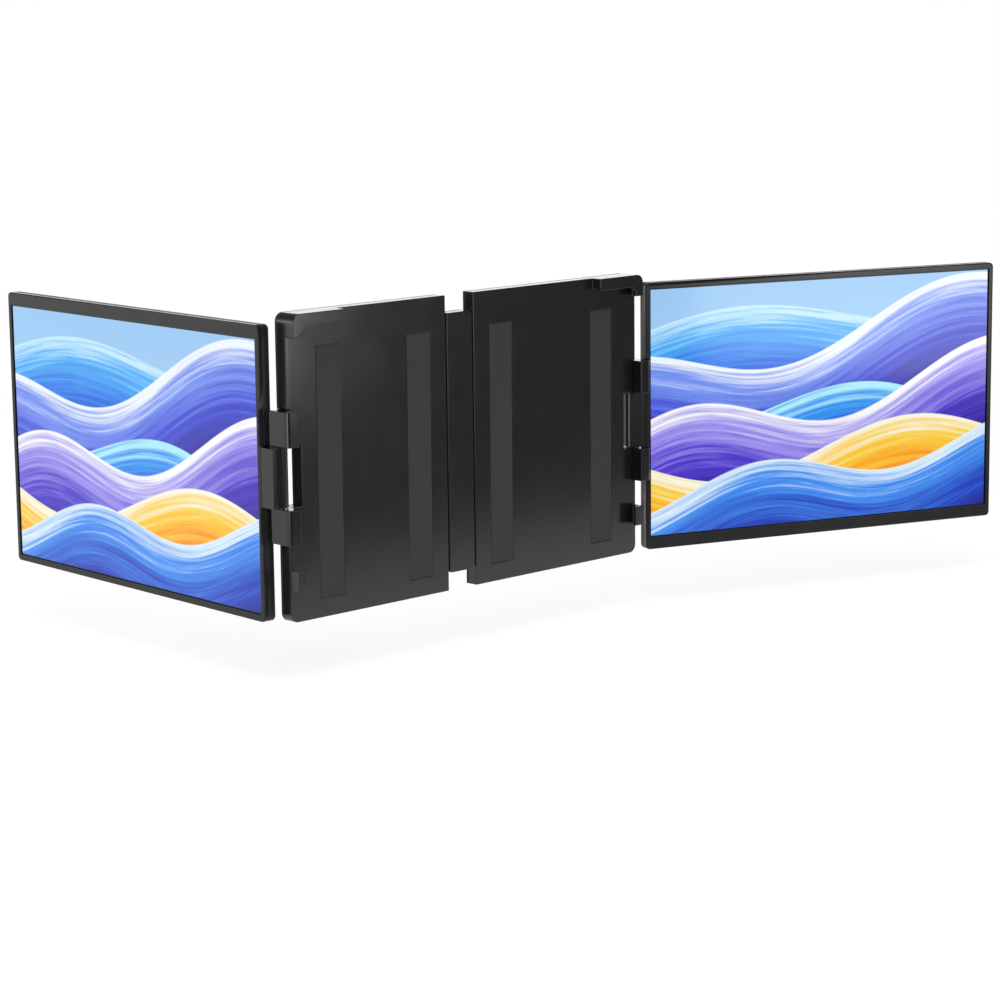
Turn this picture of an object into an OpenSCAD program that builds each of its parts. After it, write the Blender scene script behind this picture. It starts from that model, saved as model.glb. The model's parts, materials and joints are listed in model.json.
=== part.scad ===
// Laptop screen extender: two portable screens on a spreading frame that
// clamps round a laptop lid.  The frame's two halves slide apart on a narrow
// spine, kept level by two racks and one pinion; each half carries a screen on
// an upright hinge, and a leg folds out behind the spine.
//
// Frame of reference: X to the right, Y away from the user, Z up.  The origin
// is the middle of the spine's front face, where the back of the lid rests.

/* [Lid it clamps] */
// Width of the laptop lid that the frame is spread to
lid_w = 304.1; // [303:0.1:330]
// Thickness of the laptop lid
lid_t = 4.4; // [3.6:0.1:8]
// Height of the lid's top edge above the middle of the frame
lid_top = 88; // [80:0.1:90]
// Free play round the lid
lid_play = 0.3; // [0.2:0.05:1]

/* [Frame] */
// Height of the frame
frame_h = 191; // [180:1:240]
// Thickness of the frame
frame_t = 9.6; // [9.2:0.1:14]
// Length of the left half, from its inner end to its outer side
left_len = 133.4; // [126:0.1:150]
// Length of the right half, from its inner end to its outer side
right_len = 152; // [140:0.1:160]
// Thickness of the frame's shells
shell = 1.8; // [1.4:0.1:2]
// Radius of the frame's outer corners
frame_r = 5.5; // [3:0.1:8]
// Thickness of the side wall that grips the edge of the lid
grip_wall = 2.65; // [2.2:0.05:4]
// How far each half slides outwards from here
spread = 30; // [5:1:40]
// How far each half slides inwards from here
squeeze = 1; // [0.2:0.1:1]

/* [Hooks and clips] */
// Length of the hook's lip along the top of the lid
hook_len = 41.6; // [20:0.1:60]
// Height of the hook's lip below the frame's top
hook_h = 8; // [7.8:0.1:9]
// Width of the hook's leg down the side of the lid
hook_leg_w = 7.3; // [5:0.1:12]
// Height of the hook's leg, from the frame's top
hook_leg_h = 14.4; // [10:0.1:30]
// Thickness of the lips in front of the lid
lip_t = 2.3; // [1.6:0.1:4]
// Thickness of the soft liners behind the lips
liner_t = 0.8; // [0.4:0.1:1.5]
// Height of the lower clip's middle below the middle of the frame
clip_drop = 68.9; // [60:0.1:75]
// Height of the lower clip
clip_h = 13.3; // [8:0.1:20]
// Reach of the lower clip's lip over the lid
clip_reach = 8; // [5:0.1:12]

/* [Hinges] */
// Distance of the hinge axis outside the frame's side
axis_out = 4.1; // [4:0.05:6]
// Distance of the hinge axis behind the lid's back
axis_back = 5.9; // [5.5:0.05:7]
// Height of the hinge's middle above the middle of the frame
hinge_z = -4.4; // [-15:0.1:10]
// Diameter of the hinge pin
pin_d = 3.5; // [2.5:0.1:3.8]
// Height of the screen's knuckle between the two lugs
knuckle_h = 37.2; // [25:0.1:45]
// Height of each of the frame's lugs
lug_h = 22; // [14:0.1:26]
// How far the lugs stand out of the frame's side
lug_out = 7; // [6.9:0.1:8]
// How far the lugs reach in front of the lid's back
lug_front = 8.4; // [6:0.1:9]
// Radius of the lugs' front outer edge
lug_r = 3; // [1.5:0.1:4]
// Radius of the knuckle's barrel
barrel_r = 6.8; // [5:0.1:7]
// Depth of the cut in the frame's side behind the knuckle
notch_deep = 11; // [10.8:0.1:14]
// Thickness of a friction washer
washer_t = 0.4; // [0.2:0.05:0.6]
// Angle of the right screen, turned towards the user
right_angle = 20.2; // [-90:0.1:24]
// Angle of the left screen, turned towards the user
left_angle = -93.2; // [-105:0.1:24]

/* [Screens] */
// Width of one screen
unit_w = 279.2; // [250:0.1:300]
// Height of one screen
unit_h = 183.4; // [170:0.1:210]
// Thickness of one screen
unit_t = 9.5; // [9.2:0.1:11]
// Height of the screens' middle above the middle of the frame
unit_z = -3.1; // [-15:0.1:10]
// Gap between the hinge axis and the screen's inner side
unit_gap = 6; // [5.8:0.05:8]
// Distance of the screen's face in front of the hinge axis
face_front = 7.5; // [7:0.05:8]
// Width of the bezel at the two sides
bezel_side = 3.6; // [3:0.1:12]
// Width of the bezel at its narrow end
bezel_thin = 4.3; // [3.5:0.1:12]
// Width of the bezel at its wide end
bezel_thick = 8.5; // [5:0.1:20]
// Radius of the screen's corners
unit_r = 3; // [2:0.1:6]
// Thickness of the screen's walls
unit_wall = 1.5; // [1.2:0.1:1.5]
// Thickness of the bezel in front of the glass
bezel_t = 1; // [0.6:0.1:1.2]
// Thickness of the glass and its liquid crystal cell
panel_t = 2; // [1.6:0.1:2]
// Thickness of the backlight's metal tray
tray_t = 1.4; // [0.8:0.1:1.4]
// Chamfer round the back of the screen
back_chamfer = 1.6; // [0.5:0.1:2]
// Diameter of a button
button_d = 3.6; // [3:0.1:3.8]
// Travel of a button
button_travel = 0.4; // [0.2:0.05:0.4]

/* [Spine and leg] */
// Width of the spine between the two halves
spine_w = 22.2; // [20:0.1:22.2]
// Height of the spine
spine_h = 168; // [160:1:176]
// Height of a guide rail
rail_h = 12; // [8:0.1:16]
// Thickness of a guide rail
rail_t = 4; // [3:0.1:4.2]
// Length of a guide rail
rail_len = 200; // [190:1:210]
// Height of the upper rail above the middle, and of the lower one below it
rail_z = 54; // [45:1:56]
// Teeth of the pinion
pinion_teeth = 14; // [12:2:16]
// Module of the teeth
tooth_m = 1; // [0.8:0.05:1]
// Distance between the leg's foot and its pivot
leg_len = 93; // [60:1:110]
// Width of the leg
leg_w = 52; // [30:1:80]
// Height of the leg's pivot below the middle of the frame
leg_drop = 66; // [60:1:75]
// Thickness of the leg
leg_t = 3; // [2:0.1:4]

/* [Hidden] */

$fn = 48;
e = 0.01;                 // overshoot of a cut
seam = 0.1;               // gap between neighbouring covers
run = 0.05;               // radial clearance of a running pin
slide_play = 0.2;         // clearance round a sliding bar
screw_r = 0.9;            // shank of every small screw
screw_bite = 0.05;        // radial gap between a shank and its hole
head_r = 1.9;             // head of every small screw
head_t = 0.8;             // height of a screw's head
boss_r = 2.6;             // boss that takes a screw

// Where the halves stand: inner ends at +-gap, lid between the grip walls
gap = (lid_w + 2*(grip_wall + lid_play) - left_len - right_len)/2;
back_in = frame_t - shell;                 // inside of the frame's back shell
lip_back = -(lid_t + lid_play);            // plane of the liners' back
liner_front = lip_back - liner_t;
lip_front = liner_front - lip_t;
seat_z = lid_top + lid_play + 0.1;         // underside of the hook over the lid
hook_soft = 2.2;                           // radius of the lip's lower corner
lug_gap = knuckle_h/2 + washer_t + 2*run;  // from the hinge's middle to a lug
pad_in = 14;              // pads: from a half's inner end, from its side,
pad_out = 24;             // width, thickness, and from the foot and the top
pad_w = 20;
pad_t = 0.7;
pad_low = 12;
pad_high = 22;
bracket_in = 30;          // bracket's reach inwards from the half's side
bracket_t = 3;
pin_r = pin_d/2;
mid_y = frame_t/2;

// Spine, rails, racks and pinion
spine_wall = 1.8;
spine_plate = 2.4;
pitch_r = tooth_m*pinion_teeth/2;
pressure = 20;
addendum = 0.8*tooth_m;
dedendum = 1.1*tooth_m;
backlash = 0.2;           // taken off each tooth's thickness
gear_t = 3;
gear_y = mid_y - gear_t/2;
axle_r = 1.5;
rack_back = 5;            // solid height of a rack behind its teeth
rack_past = spread + 6;   // reach of a rack past the pinion's axis
mesh_past = squeeze + 6;  // reach of its teeth towards its own half
inner_rib = 4;            // the rack's foot and the glides start here in a half
foot_x = [inner_rib, inner_rib + 22];
glide_len = 16;
glide_x = [inner_rib, inner_rib + 34];
glide_h = rail_h + 5;

// Leg
leg_pivot = [frame_t + 3.6, -leg_drop];
leg_barrel_r = 2.9;
leg_pin_r = 1.25;
ear_t = 3.5;
ear_r = 3.6;
neck_w = spine_w - 0.4 - 2*ear_t - 0.6;
foot_t = 3;

// Screen: Y from the face backwards
cover_y = bezel_t + panel_t;               // where the rear cover starts
cover_in = unit_t - 1.4;                   // inside of the rear cover
tray_y = cover_y + tray_t;
board_t = 0.8;
port_y = 5.6;
port_z = [-62, -47, -30];
port_w = [8.9, 8.9, 11.2];
port_t = 3.2;
button_z = [-14, -5, 4];
button_r = button_d/2;
flange_r = 2.3;
flange_t = 0.75;
button_base = unit_w - unit_wall - 0.2 - flange_t;   // inner end of a button at rest
plunger_t = 0.7;                           // a switch's plunger, just past the travel
plunger_x = button_base - button_travel - 0.15 - plunger_t;
side_cut = 12;                             // tray held back from ports and buttons
board_len = 56.8;
board_end = unit_w - 3.2;
chips = [[47, 12, -40, 12], [29, 8, -24, 8], [47, 8, -62, 8]];
speaker_in = 44;                           // speakers: from the side, and length
speaker_len = 24;
speaker_x = [speaker_in, unit_w - speaker_in - speaker_len];
relief = [1.9, 3];                         // bevel that clears a lug
arm_len = 26;                              // knuckle's plate inside the screen
knuckle_reach = 6.1;                       // knuckle's front plate past the axis
knuckle_plate = 3;

// ---- helpers -------------------------------------------------------------

// A pair of coordinates v counted from c
function span(c, v) = [for (a = v) c + a];

module block(x, y, z)
    translate([x[0], y[0], z[0]]) cube([x[1] - x[0], y[1] - y[0], z[1] - z[0]]);

// An outline in X and Z, given a thickness from y[0] to y[1]
module plate(y)
    translate([0, y[1], 0]) rotate([90, 0, 0]) linear_extrude(y[1] - y[0]) children();

// A rectangle with a radius for each corner: low-low, high-low, high-high, low-high
module soft_rect(x, y, r) {
    polygon([[x[0] + r[0], y[0]], [x[1] - r[1], y[0]], [x[1], y[0] + r[1]],
        [x[1], y[1] - r[2]], [x[1] - r[2], y[1]], [x[0] + r[3], y[1]],
        [x[0], y[1] - r[3]], [x[0], y[0] + r[0]]]);
    if (r[0] > 0) translate([x[0] + r[0], y[0] + r[0]]) circle(r[0]);
    if (r[1] > 0) translate([x[1] - r[1], y[0] + r[1]]) circle(r[1]);
    if (r[2] > 0) translate([x[1] - r[2], y[1] - r[2]]) circle(r[2]);
    if (r[3] > 0) translate([x[0] + r[3], y[1] - r[3]]) circle(r[3]);
}

// A round bar along Y, from y[0] to y[1], at [x, z]
module bar_y(at, r, y)
    translate([at[0], y[1], at[1]]) rotate([90, 0, 0]) cylinder(r = r, h = y[1] - y[0]);

// A small screw whose head's top is at y[1] and whose tip is at y[0]
module screw_y(at, y) {
    bar_y(at, screw_r, [y[0], y[1] - head_t + e]);
    bar_y(at, head_r, [y[1] - head_t, y[1]]);
}

// ---- where things stand ----------------------------------------------------

// A half is drawn from its inner end outwards along +X
module right_half() translate([gap, 0, 0]) children();
module left_half() mirror([1, 0, 0]) translate([gap, 0, 0]) children();

// A screen is drawn with X from its inner side outwards, Y from its face
// backwards and Z from its middle.  The left one is the same screen turned over.
module right_screen()
    translate([gap + right_len + axis_out, axis_back, hinge_z]) rotate([0, 0, -right_angle])
        translate([unit_gap, -face_front, unit_z - hinge_z]) children();
module left_screen()
    translate([-gap - left_len - axis_out, axis_back, hinge_z]) rotate([0, 0, left_angle])
        translate([-unit_gap, -face_front, unit_z - hinge_z]) rotate([0, 180, 0]) children();

// ---- frame halves ------------------------------------------------------------

// Outline of a half, drawn in by i all round
module half_outline(len, i = 0) {
    difference() {
        soft_rect([i, len - i], [-frame_h/2 + i, frame_h/2 - i], [0, frame_r - i, frame_r - i, 0]);
        translate([len - notch_deep - i, hinge_z - lug_gap - i])
            square([notch_deep + i + e, 2*(lug_gap + i)]);
    }
}

// Space in the side for the lugs' roots
module lug_roots(len, y)
    for (s = [-1, 1])
        block([len - grip_wall - seam, len + e], y,
            span(hinge_z, s > 0 ? [lug_gap - e, lug_gap + lug_h + seam]
                                : [-lug_gap - lug_h - seam, -lug_gap + e]));

function frame_screw_at(len) = [for (z = [-1, 1]) for (x = [8, len/2, len - 8])
    [x, z*(frame_h/2 - 6)]];
function bracket_screw_at(len) = [for (z = [-1, 0, 1])
    [len - bracket_in + 8, hinge_z + z*(lug_gap + lug_h/2)]];

// Lip over the top corner of the lid, with a leg down its side
module hook_outline(len, i = 0) {
    soft_rect([len - hook_len + i, len - i], [frame_h/2 - hook_h + i, frame_h/2 - i],
        [hook_soft - i, 0, frame_r - i, 0]);
    translate([len - hook_leg_w + i, frame_h/2 - hook_leg_h + i])
        square([hook_leg_w - 2*i, hook_leg_h - frame_r]);
}
module clip_outline(len, i = 0)
    soft_rect([len - clip_reach + i, len - i], [-clip_drop - clip_h/2 + i, -clip_drop + clip_h/2 - i],
        [1, 0, 0, 1]);

module grips(len) {
    plate([lip_front, liner_front]) hook_outline(len);
    plate([lip_front, liner_front]) clip_outline(len);
    plate([liner_front - e, e]) intersection() {
        hook_outline(len);
        union() {
            translate([len - grip_wall, 0]) square([grip_wall, frame_h]);
            translate([0, seat_z]) square([len, frame_h]);
        }
    }
    block([len - grip_wall, len], [liner_front - e, e], [-clip_drop - clip_h/2, -clip_drop + clip_h/2]);
}

// Where each soft pad lies on a half's front
function pad_x(len) = [[pad_in, pad_in + pad_w], [len - pad_out - pad_w, len - pad_out]];

module front_shell(len) color("#1d1d1f") difference() {
    union() {
        plate([0, shell]) half_outline(len);
        plate([shell - e, back_in]) difference() {
            half_outline(len);
            half_outline(len, shell);
        }
        grips(len);
        for (p = frame_screw_at(len)) bar_y(p, boss_r, [shell - e, back_in]);
        for (s = [-1, 1], t = [-1, 1])
            block([glide_x[0] - 1, glide_x[1] + glide_len], [shell - e, mid_y],
                span(s*rail_z, t > 0 ? [glide_h/2 + seam, glide_h/2 + 1.3]
                                     : [-glide_h/2 - 1.3, -glide_h/2 - seam]));
    }
    for (s = [-1, 1])
        block([-e, shell + e], span(mid_y, [-rail_t/2 - 0.4, rail_t/2 + 0.4]),
            span(s*rail_z, [-rail_h/2 - 0.4, rail_h/2 + 0.4]));
    block([-e, shell + e], span(mid_y, [-gear_t/2 - 0.4, gear_t/2 + 0.4]),
        [-pitch_r - dedendum - rack_back - 0.4, pitch_r + dedendum + rack_back + 0.4]);
    lug_roots(len, [-e, back_in + e]);
    for (p = frame_screw_at(len)) bar_y(p, screw_r + screw_bite, [shell + 1, back_in + e]);
    for (p = bracket_screw_at(len)) bar_y(p, screw_r + screw_bite, [shell - 1, shell + e]);
    for (x = pad_x(len)) block(x, [-e, pad_t], [-frame_h/2 + pad_low, frame_h/2 - pad_high]);
}

module back_shell(len) color("#19191b") difference() {
    plate([back_in, frame_t]) half_outline(len);
    lug_roots(len, [back_in - e, frame_t + e]);
    for (p = frame_screw_at(len)) {
        bar_y(p, screw_r + screw_bite, [back_in - e, frame_t + e]);
        bar_y(p, head_r + seam, [frame_t - head_t, frame_t + e]);
    }
}

// Two lugs on one plate that is screwed inside the half
module hinge_bracket(len) color("#2b2b2e") difference() {
    union() {
        for (s = [-1, 1]) {
            lug = span(hinge_z, s > 0 ? [lug_gap, lug_gap + lug_h] : [-lug_gap - lug_h, -lug_gap]);
            arm = span(hinge_z, s > 0 ? [lug_gap + shell + 0.2, lug_gap + lug_h]
                                      : [-lug_gap - lug_h, -lug_gap - shell - 0.2]);
            translate([0, 0, lug[0]]) linear_extrude(lug_h)
                soft_rect([len - grip_wall, len + lug_out], [-lug_front, frame_t], [0.8, lug_r, 1.2, 0]);
            block([len - notch_deep - 4, len - grip_wall + e], [shell, back_in - 1], arm);
        }
        block([len - bracket_in, len - notch_deep - shell - 0.2], [shell, shell + bracket_t],
            span(hinge_z, [-lug_gap - lug_h, lug_gap + lug_h]));
    }
    translate([len + axis_out, axis_back, hinge_z - lug_gap - lug_h - e])
        cylinder(r = pin_r, h = 2*lug_gap + 2*lug_h - 3);
    for (p = bracket_screw_at(len)) bar_y(p, screw_r + screw_bite, [shell - e, shell + bracket_t + e]);
}

module hinge_pin(len) color("#9a9ca0")
    translate([len + axis_out, axis_back, hinge_z - lug_gap - lug_h + 0.5])
        cylinder(r = pin_r, h = 2*lug_gap + 2*lug_h - 4);

module hinge_washers(len) color("#2a2a2c")
    for (s = [-1, 1])
        translate([len + axis_out, axis_back, hinge_z + s*(knuckle_h/2 + run + washer_t/2)])
            difference() {
                cylinder(r = pin_r + 2.6, h = washer_t, center = true);
                cylinder(r = pin_r + run, h = washer_t + 1, center = true);
            }

// Straight rack, teeth facing the pinion; s is 1 above the pinion, -1 below it
module rack(s) color("#d8d4c8") {
    pitch = PI*tooth_m;
    mid = pitch/4 - backlash/2;
    tip = mid - addendum*tan(pressure);
    root = mid + dedendum*tan(pressure);
    foot_z = pitch_r + dedendum;
    teeth = [for (k = [ceil(-rack_past/pitch):floor(mesh_past/pitch) - 1]) (k + 0.5)*pitch - gap];
    mirror([0, 0, s > 0 ? 0 : 1]) {
        plate([gear_y, gear_y + gear_t]) {
            translate([-gap - rack_past, foot_z]) square([rack_past + gap + foot_x[1], rack_back]);
            for (x = teeth)
                polygon([[x - root, foot_z + e], [x - root, foot_z], [x - tip, pitch_r - addendum],
                    [x + tip, pitch_r - addendum], [x + root, foot_z], [x + root, foot_z + e]]);
        }
        block(foot_x, [shell, gear_y + e], [foot_z, foot_z + rack_back]);
    }
}

module glides() color("#ece8dd")
    for (x = glide_x, s = [-1, 1]) difference() {
        block([x, x + glide_len], [shell, back_in], span(s*rail_z, [-glide_h/2, glide_h/2]));
        block([x - e, x + glide_len + e], span(mid_y, [-rail_t/2 - slide_play, rail_t/2 + slide_play]),
            span(s*rail_z, [-rail_h/2 - slide_play, rail_h/2 + slide_play]));
    }

module frame_screws(len) color("#55565a") {
    for (p = frame_screw_at(len)) screw_y(p, [shell + 1.5, frame_t]);
    for (p = bracket_screw_at(len)) screw_y(p, [shell - 0.9, shell + bracket_t + head_t]);
}

module lid_pads(len) color("#2f3033") {
    plate([liner_front, lip_back]) difference() {
        hook_outline(len, 0.5);
        translate([len - grip_wall - seam, 0]) square([grip_wall + 1, frame_h]);
        translate([0, seat_z - seam]) square([len, frame_h]);
    }
    plate([liner_front, lip_back]) difference() {
        clip_outline(len, 0.5);
        translate([len - grip_wall - seam, -frame_h]) square([grip_wall + 1, frame_h]);
    }
    for (x = pad_x(len))
        block(x + [seam, -seam], [0, pad_t], [-frame_h/2 + pad_low + seam, frame_h/2 - pad_high - seam]);
}

// ---- spine, rails, pinion and leg ---------------------------------------------

spine_screw_z = [-78, -34, 34, 78];

module spine_outline(i = 0)
    soft_rect([-spine_w/2 + i, spine_w/2 - i], [-spine_h/2 + i, spine_h/2 - i], [1, 1, 1, 1]*(2 - i/2));

module spine_windows() {
    for (s = [-1, 1])
        block([-spine_w, spine_w], span(mid_y, [-rail_t/2, rail_t/2]), span(s*rail_z, [-rail_h/2, rail_h/2]));
    block([-spine_w, spine_w], span(mid_y, [-gear_t/2 - 0.4, gear_t/2 + 0.4]),
        [-pitch_r - dedendum - rack_back - 0.4, pitch_r + dedendum + rack_back + 0.4]);
}

module spine_front() color("#202022") difference() {
    union() {
        plate([0, spine_plate]) spine_outline();
        plate([spine_plate - e, frame_t - spine_plate]) difference() {
            spine_outline();
            spine_outline(spine_wall);
        }
        for (s = [-1, 1])
            block([-spine_w/2 + 1, spine_w/2 - 1], [spine_plate - e, mid_y - rail_t/2],
                span(s*rail_z, [-rail_h/2, rail_h/2]));
        for (z = spine_screw_z) bar_y([0, z], boss_r, [spine_plate - e, frame_t - spine_plate]);
        bar_y([0, 0], axle_r + 1.2, [spine_plate - e, gear_y - 0.15]);
    }
    spine_windows();
    for (z = spine_screw_z) bar_y([0, z], screw_r + screw_bite, [spine_plate, frame_t]);
    for (s = [-1, 1]) bar_y([0, s*rail_z], screw_r + screw_bite, [1, frame_t]);
    bar_y([0, 0], axle_r, [1.2, frame_t]);
}

module spine_back() color("#1a1a1c") difference() {
    union() {
        plate([frame_t - spine_plate, frame_t]) spine_outline();
        for (s = [-1, 1])
            block([-spine_w/2 + spine_wall + seam, spine_w/2 - spine_wall - seam],
                [mid_y + rail_t/2, frame_t - 1], span(s*rail_z, [-rail_h/2, rail_h/2]));
        bar_y([0, 0], axle_r + 1.2, [gear_y + gear_t + 0.15, frame_t - 1]);
        for (s = [-1, 1]) translate([s*(spine_w/2 - 0.2 - ear_t/2), 0, 0]) {
            translate([0, leg_pivot[0], leg_pivot[1]]) rotate([0, 90, 0])
                cylinder(r = ear_r, h = ear_t, center = true);
            block([-ear_t/2, ear_t/2], [frame_t - 1, leg_pivot[0]], span(leg_pivot[1], [-ear_r, ear_r]));
        }
    }
    for (z = spine_screw_z) {
        bar_y([0, z], screw_r + screw_bite, [0, frame_t + e]);
        bar_y([0, z], head_r + seam, [frame_t - head_t, frame_t + e]);
    }
    for (s = [-1, 1]) {
        bar_y([0, s*rail_z], screw_r + screw_bite, [0, frame_t + e]);
        bar_y([0, s*rail_z], head_r + seam, [frame_t - head_t, frame_t + e]);
    }
    bar_y([0, 0], axle_r, [0, frame_t - 0.8]);
    translate([0, leg_pivot[0], leg_pivot[1]]) rotate([0, 90, 0])
        cylinder(r = leg_pin_r, h = 2*spine_w, center = true);
}

module guide_rails() color("#a9abb0")
    for (s = [-1, 1]) difference() {
        block([-rail_len/2, rail_len/2], span(mid_y, [-rail_t/2, rail_t/2]),
            span(s*rail_z, [-rail_h/2, rail_h/2]));
        bar_y([0, s*rail_z], screw_r + screw_bite, [0, frame_t]);
    }

module pinion_axle() color("#9a9ca0") bar_y([0, 0], axle_r, [1.2, frame_t - 0.9]);

// Involute flank: the half angle of a tooth, in degrees, at radius r
function inv(a) = tan(a)*180/PI - a;
function half_tooth(r) = (PI*tooth_m/2 - backlash)/2/pitch_r*180/PI
    + inv(pressure) - inv(acos(min(1, pitch_r*cos(pressure)/r)));

module sync_pinion() color("#d8d4c8") {
    base_r = pitch_r*cos(pressure);
    root_r = pitch_r - dedendum;
    tip_r = pitch_r + addendum;
    radii = [for (k = [0:6]) base_r + (tip_r - base_r)*k/6];
    flank = concat([[root_r, half_tooth(base_r)]], [for (r = radii) [r, half_tooth(r)]]);
    difference() {
        union() {
            plate([gear_y, gear_y + gear_t]) {
                circle(root_r + e);
                for (k = [0:pinion_teeth - 1]) rotate(90 + k*360/pinion_teeth)
                    polygon(concat([[0, 0]], [for (f = flank) f[0]*[cos(f[1]), -sin(f[1])]],
                        [for (j = [len(flank) - 1:-1:0]) flank[j][0]*[cos(flank[j][1]), sin(flank[j][1])]]));
            }
            bar_y([0, 0], axle_r + 1.4, [gear_y - 0.1, gear_y + gear_t + 0.1]);
        }
        bar_y([0, 0], axle_r + run, [0, frame_t]);
    }
}

module spine_screws() color("#55565a") {
    for (z = spine_screw_z) screw_y([0, z], [spine_plate + 0.5, frame_t]);
    for (s = [-1, 1]) screw_y([0, s*rail_z], [1.1, frame_t]);
}

module leg_pin() color("#9a9ca0")
    translate([0, leg_pivot[0], leg_pivot[1]]) rotate([0, 90, 0])
        cylinder(r = leg_pin_r, h = spine_w - 0.8, center = true);

module folding_leg() color("#232326") difference() {
    union() {
        translate([0, leg_pivot[0], leg_pivot[1]]) rotate([0, 90, 0])
            cylinder(r = leg_barrel_r, h = neck_w, center = true);
        block([-neck_w/2, neck_w/2], span(leg_pivot[0], [0.2 - leg_t, 0.2]),
            span(leg_pivot[1], [0, ear_r + 5]));
        plate(span(leg_pivot[0], [0.2 - leg_t, 0.2]))
            soft_rect([-leg_w/2, leg_w/2], span(leg_pivot[1], [ear_r + 3, leg_len - foot_t]), [6, 6, 4, 4]);
    }
    translate([0, leg_pivot[0], leg_pivot[1]]) rotate([0, 90, 0])
        cylinder(r = leg_pin_r + run, h = spine_w, center = true);
    plate(span(leg_pivot[0], [-leg_t - 1, 1.2]))
        soft_rect([-leg_w/2 + 12, leg_w/2 - 12],
            span(leg_pivot[1], [ear_r + 16, leg_len - foot_t - 14]), [4, 4, 4, 4]);
}

module leg_foot() color("#151516")
    block([-leg_w/2 + 5, leg_w/2 - 5], span(leg_pivot[0], [0.3 - leg_t, 0.1]),
        span(leg_pivot[1], [leg_len - foot_t, leg_len]));

// ---- screens --------------------------------------------------------------------

win_x = [bezel_side, unit_w - bezel_side];
win_z = [-unit_h/2 + bezel_thick, unit_h/2 - bezel_thin];

module unit_outline(i = 0)
    soft_rect([i, unit_w - i], [-unit_h/2 + i, unit_h/2 - i], [1, 1, 1, 1]*max(unit_r - i, 0.5));

// Bevels on the inner edge, where the screen swings past the lugs
module lug_reliefs(dz)
    for (s = [-1, 1])
        translate([0, 0, dz + (s > 0 ? lug_gap - 0.3 : -lug_gap - lug_h - 0.3)])
            linear_extrude(lug_h + 0.6) polygon([[-e, -e], [relief[0], -e], [-e, relief[1]]]);

module bezel(dz) color("#232325") difference() {
    union() {
        plate([0, bezel_t]) unit_outline();
        plate([bezel_t - e, cover_y]) difference() {
            unit_outline();
            unit_outline(unit_wall);
        }
    }
    plate([-e, bezel_t + e]) soft_rect(win_x, win_z, [0, 0, 0, 0]);
    lug_reliefs(dz);
}

module display() color("#5b9ae8")
    plate([bezel_t, cover_y]) soft_rect([unit_wall + seam + 0.3, unit_w - unit_wall - seam],
        [-unit_h/2 + unit_wall + seam, unit_h/2 - unit_wall - seam], [1, 1, 1, 1]*1.5);

function screen_screw_at() = [for (x = [14, unit_w/2, unit_w - 20]) for (s = [-1, 1])
    [x, s*(unit_h/2 - 8)]];
function knuckle_screw_at(dz) = [for (x = [12, 22]) for (z = [-12, 12]) [x, dz + z]];

module backlight() color("#b9bcc2") difference() {
    union() {
        plate([cover_y, tray_y]) soft_rect([unit_wall + 0.3, unit_w - unit_wall - 0.3],
            [-unit_h/2 + unit_wall + 0.3, unit_h/2 - unit_wall - 0.3], [1, 1, 1, 1]);
        for (p = screen_screw_at()) bar_y(p, boss_r - 0.2, [tray_y - e, cover_in]);
    }
    block([unit_w - side_cut, unit_w], [cover_y - e, tray_y + e],
        [port_z[0] - 9, button_z[2] + 6]);
    for (p = screen_screw_at()) bar_y(p, screw_r + screw_bite, [tray_y + 0.2, cover_in + e]);
}

module port_profile(w, t) soft_rect([-w/2, w/2], [-t/2, t/2], [1, 1, 1, 1]*(t/2 - 0.1));

// Carries an outline in Z and Y along X, from x[0] to x[1]
module along_x(x, y, z)
    translate([x[0], y, z]) rotate([90, 0, 90]) rotate([0, 0, 90]) linear_extrude(x[1] - x[0]) children();

module rear_cover(dz) color("#1f1f21") difference() {
    hull() {
        plate([cover_y, unit_t - back_chamfer]) unit_outline();
        plate([cover_y, unit_t]) unit_outline(back_chamfer);
    }
    plate([cover_y - e, cover_in]) unit_outline(unit_wall);
    for (k = [0:2]) along_x([unit_w - unit_wall - 1, unit_w + e], port_y, port_z[k])
        port_profile(port_w[k] + 0.5, port_t + 0.4);
    for (z = button_z) translate([unit_w - unit_wall - 1, port_y, z]) rotate([0, 90, 0])
        cylinder(r = button_r + 0.1, h = unit_wall + 2);
    block([-e, unit_wall + e], [cover_y - e, cover_in], span(dz, [-knuckle_h/2 - 0.2, knuckle_h/2 + 0.2]));
    translate([-unit_gap, face_front, dz])
        cylinder(r = barrel_r + 0.15, h = knuckle_h + 0.4, center = true);
    for (p = concat(screen_screw_at(), knuckle_screw_at(dz))) {
        bar_y(p, screw_r + screw_bite, [cover_y, unit_t + e]);
        bar_y(p, head_r + seam, [unit_t - head_t, unit_t + e]);
    }
    for (x = speaker_x, k = [0:4])
        block(span(x + 2.8 + 4*k, [0, 2.4]), [5, 6.6], span(-unit_h/2, [-e, unit_wall + e]));
}

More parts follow.
